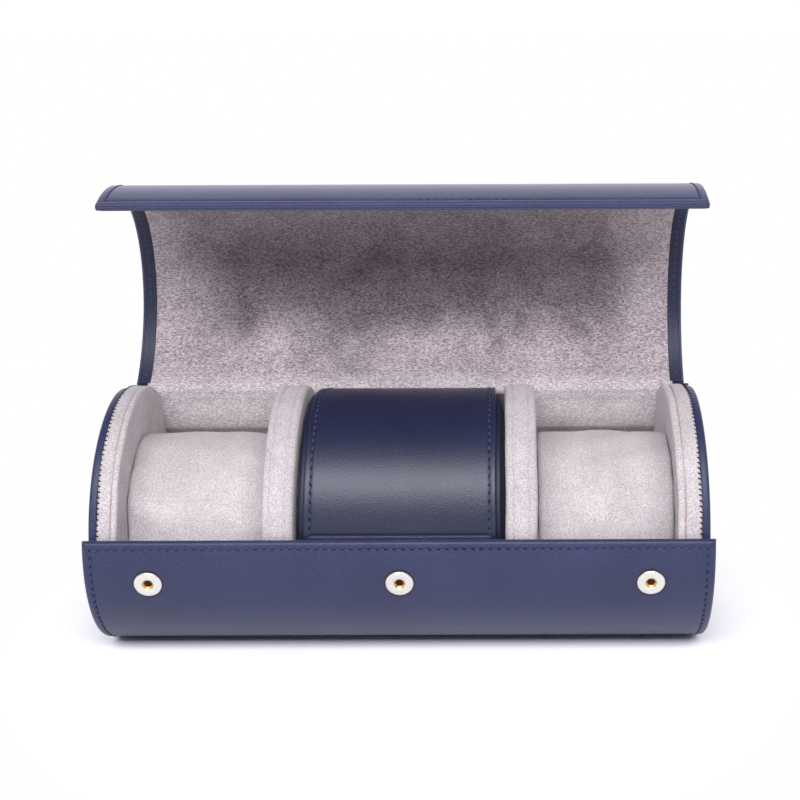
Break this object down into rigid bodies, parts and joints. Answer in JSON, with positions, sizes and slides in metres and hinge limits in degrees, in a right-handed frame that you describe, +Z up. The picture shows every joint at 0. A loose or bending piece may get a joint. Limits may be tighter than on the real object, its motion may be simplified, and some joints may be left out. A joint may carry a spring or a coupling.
{
  "type": "watch travel case",
  "caption": "Barrel-shaped leather watch case, lid open, with padded discs, round watch cushions and a flap over the middle compartment.",
  "frame": {"origin": "on the table under the axis of the barrel, halfway along it", "axes": "+X along the barrel to the right as seen from the front, +Y from the front panel to the lid's hinge, +Z up"},
  "size_m": [0.22, 0.0953, 0.1692],
  "materials": {
    "leather": "satin pebbled",
    "leather_dark": "satin",
    "suede": "matt nap",
    "foam": "matt",
    "board": "matt",
    "nickel": "satin",
    "brass": "polished"
  },
  "bodies": {
    "base": {"base_leather": "leather", "bottom_leather": "leather", "base_board": "board", "base_lining": "suede", "hinge_piping": "leather", "left_end_leather": "leather", "left_end_board": "board", "left_end_foam": "foam", "left_end_band": "suede", "left_end_piping": "suede", "left_end_face": "suede", "right_end_leather": "leather", "right_end_board": "board", "right_end_foam": "foam", "right_end_band": "suede", "right_end_piping": "suede", "right_end_face": "suede", "left_divider_board": "board", "left_divider_foam": "foam", "left_divider_band": "suede", "left_divider_piping": "suede", "left_divider_faces": "suede", "right_divider_board": "board", "right_divider_foam": "foam", "right_divider_band": "suede", "right_divider_piping": "suede", "right_divider_faces": "suede", "stud_rings": "nickel", "stud_sockets": "brass", "stud_washers": "nickel", "drum_leather": "leather_dark", "drum_board": "board", "drum_lining": "suede", "drum_strap": "leather", "drum_ends": "suede", "flap_piping": "leather", "centre_cushion_cover": "suede", "centre_cushion_foam": "foam"},
    "lid": {"lid_leather": "leather", "lid_board": "board", "lid_lining": "suede", "lid_facings": "leather"},
    "lip": {"lip_leather": "leather", "lip_board": "board", "lip_lining": "suede", "lip_facings": "leather", "lip_caps": "nickel"},
    "flap": {"flap_leather": "leather", "flap_lining": "suede"},
    "left_cushion": {"left_cushion_cover": "suede", "left_cushion_foam": "foam", "left_cushion_ends": "suede"},
    "right_cushion": {"right_cushion_cover": "suede", "right_cushion_foam": "foam", "right_cushion_ends": "suede"}
  },
  "joints": [
    {"name": "lid_hinge", "type": "hinge", "parent": "base", "child": "lid", "pos_m": [0, 0.02996, 0.08399], "axis": [-1, 0, 0], "range_deg": [-97, 30]},
    {"name": "lip_fold", "type": "hinge", "parent": "lid", "child": "lip", "pos_m": [0, 0.01324, 0.16611], "axis": [-1, 0, 0], "range_deg": [0, 30]},
    {"name": "flap_hinge", "type": "hinge", "parent": "base", "child": "flap", "pos_m": [0, 0.02295, 0.08372], "axis": [-1, 0, 0], "range_deg": [0, 65]},
    {"name": "left_cushion_lift", "type": "slide", "parent": "base", "child": "left_cushion", "axis": [0, -0.3907, 0.9205], "range_m": [0, 0.07]},
    {"name": "right_cushion_lift", "type": "slide", "parent": "base", "child": "right_cushion", "axis": [0, -0.3907, 0.9205], "range_m": [0, 0.07]}
  ]
}
